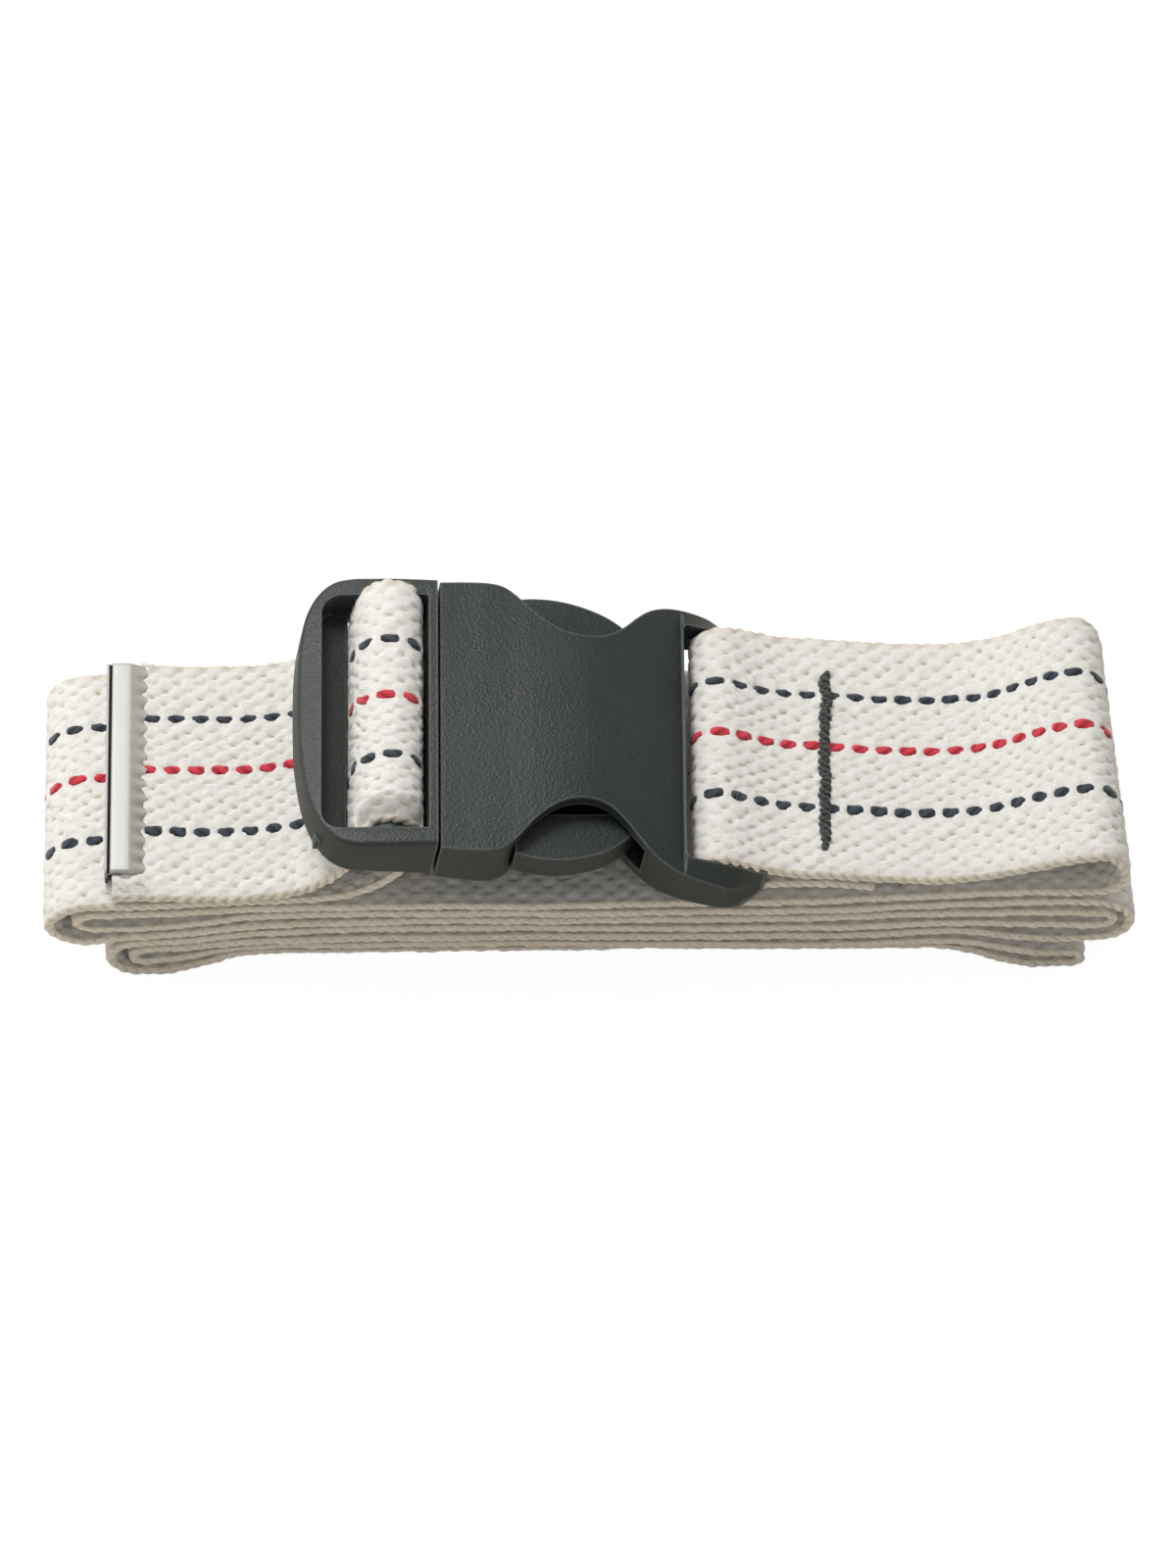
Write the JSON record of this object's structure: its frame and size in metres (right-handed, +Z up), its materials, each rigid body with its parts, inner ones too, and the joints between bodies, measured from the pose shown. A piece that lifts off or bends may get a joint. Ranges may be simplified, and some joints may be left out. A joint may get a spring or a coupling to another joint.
{
  "type": "gait belt",
  "caption": "Folded cotton webbing transfer belt with dashed woven stripes, a side-release buckle with a ladder adjuster, and a crimped metal end tip.",
  "frame": {"origin": "on the ground plane under the centre of the folded belt's bounding box", "axes": "+X along the folded belt, from the metal tip towards the sewn loop; +Y across the webbing; +Z up, out of the buckle's face"},
  "size_m": [0.1978, 0.0592, 0.0497],
  "materials": {
    "cotton_webbing": "heavy natural cotton webbing, plain weave with short floats, matt and slightly fuzzy",
    "navy_yarn": "dyed navy pattern yarn, woven in as dashes",
    "red_yarn": "dyed red pattern yarn, woven in as dashes",
    "charcoal_thread": "charcoal polyester sewing thread, dense zigzag line",
    "black_acetal": "moulded black acetal, fine grained texture, soft sheen",
    "bright_metal": "bright plated steel strip, pressed shut on the webbing"
  },
  "bodies": {
    "belt": {"belt_webbing": "cotton_webbing", "belt_yarn_navy_far": "navy_yarn", "belt_yarn_red": "red_yarn", "belt_yarn_navy_near": "navy_yarn", "bartack_thread": "charcoal_thread", "female_shell": "black_acetal"},
    "male_half": {"male_frame": "black_acetal", "adjuster_loop": "cotton_webbing", "loop_yarn_navy_far": "navy_yarn", "loop_yarn_red": "red_yarn", "loop_yarn_navy_near": "navy_yarn"},
    "near_arm": {"latch_arm_near": "black_acetal"},
    "far_arm": {"latch_arm_far": "black_acetal"},
    "free_end": {"tail_webbing": "cotton_webbing", "tail_yarn_navy_far": "navy_yarn", "tail_yarn_red": "red_yarn", "tail_yarn_navy_near": "navy_yarn", "end_tip": "bright_metal"}
  },
  "joints": [
    {"name": "release_slide", "type": "slide", "parent": "belt", "child": "male_half", "axis": [-0.9877, 0, 0.1564], "range_m": [0, 0.04], "deforming": ["latch_arm_near", "latch_arm_far"]},
    {"name": "near_arm_flex", "type": "hinge", "parent": "male_half", "child": "near_arm", "pos_m": [-0.02697, -0.018, 0.03597], "axis": [0.1564, 0, 0.9877], "range_deg": [0, 12], "stiffness_Nm_per_rad": 1},
    {"name": "far_arm_flex", "type": "hinge", "parent": "male_half", "child": "far_arm", "pos_m": [-0.02697, 0.018, 0.03597], "axis": [-0.1564, 0, -0.9877], "range_deg": [0, 12], "stiffness_Nm_per_rad": 1},
    {"name": "tail_lift", "type": "hinge", "parent": "male_half", "child": "free_end", "pos_m": [-0.0565, 0, 0.0266], "axis": [0, 1, 0], "range_deg": [0, 80]}
  ]
}
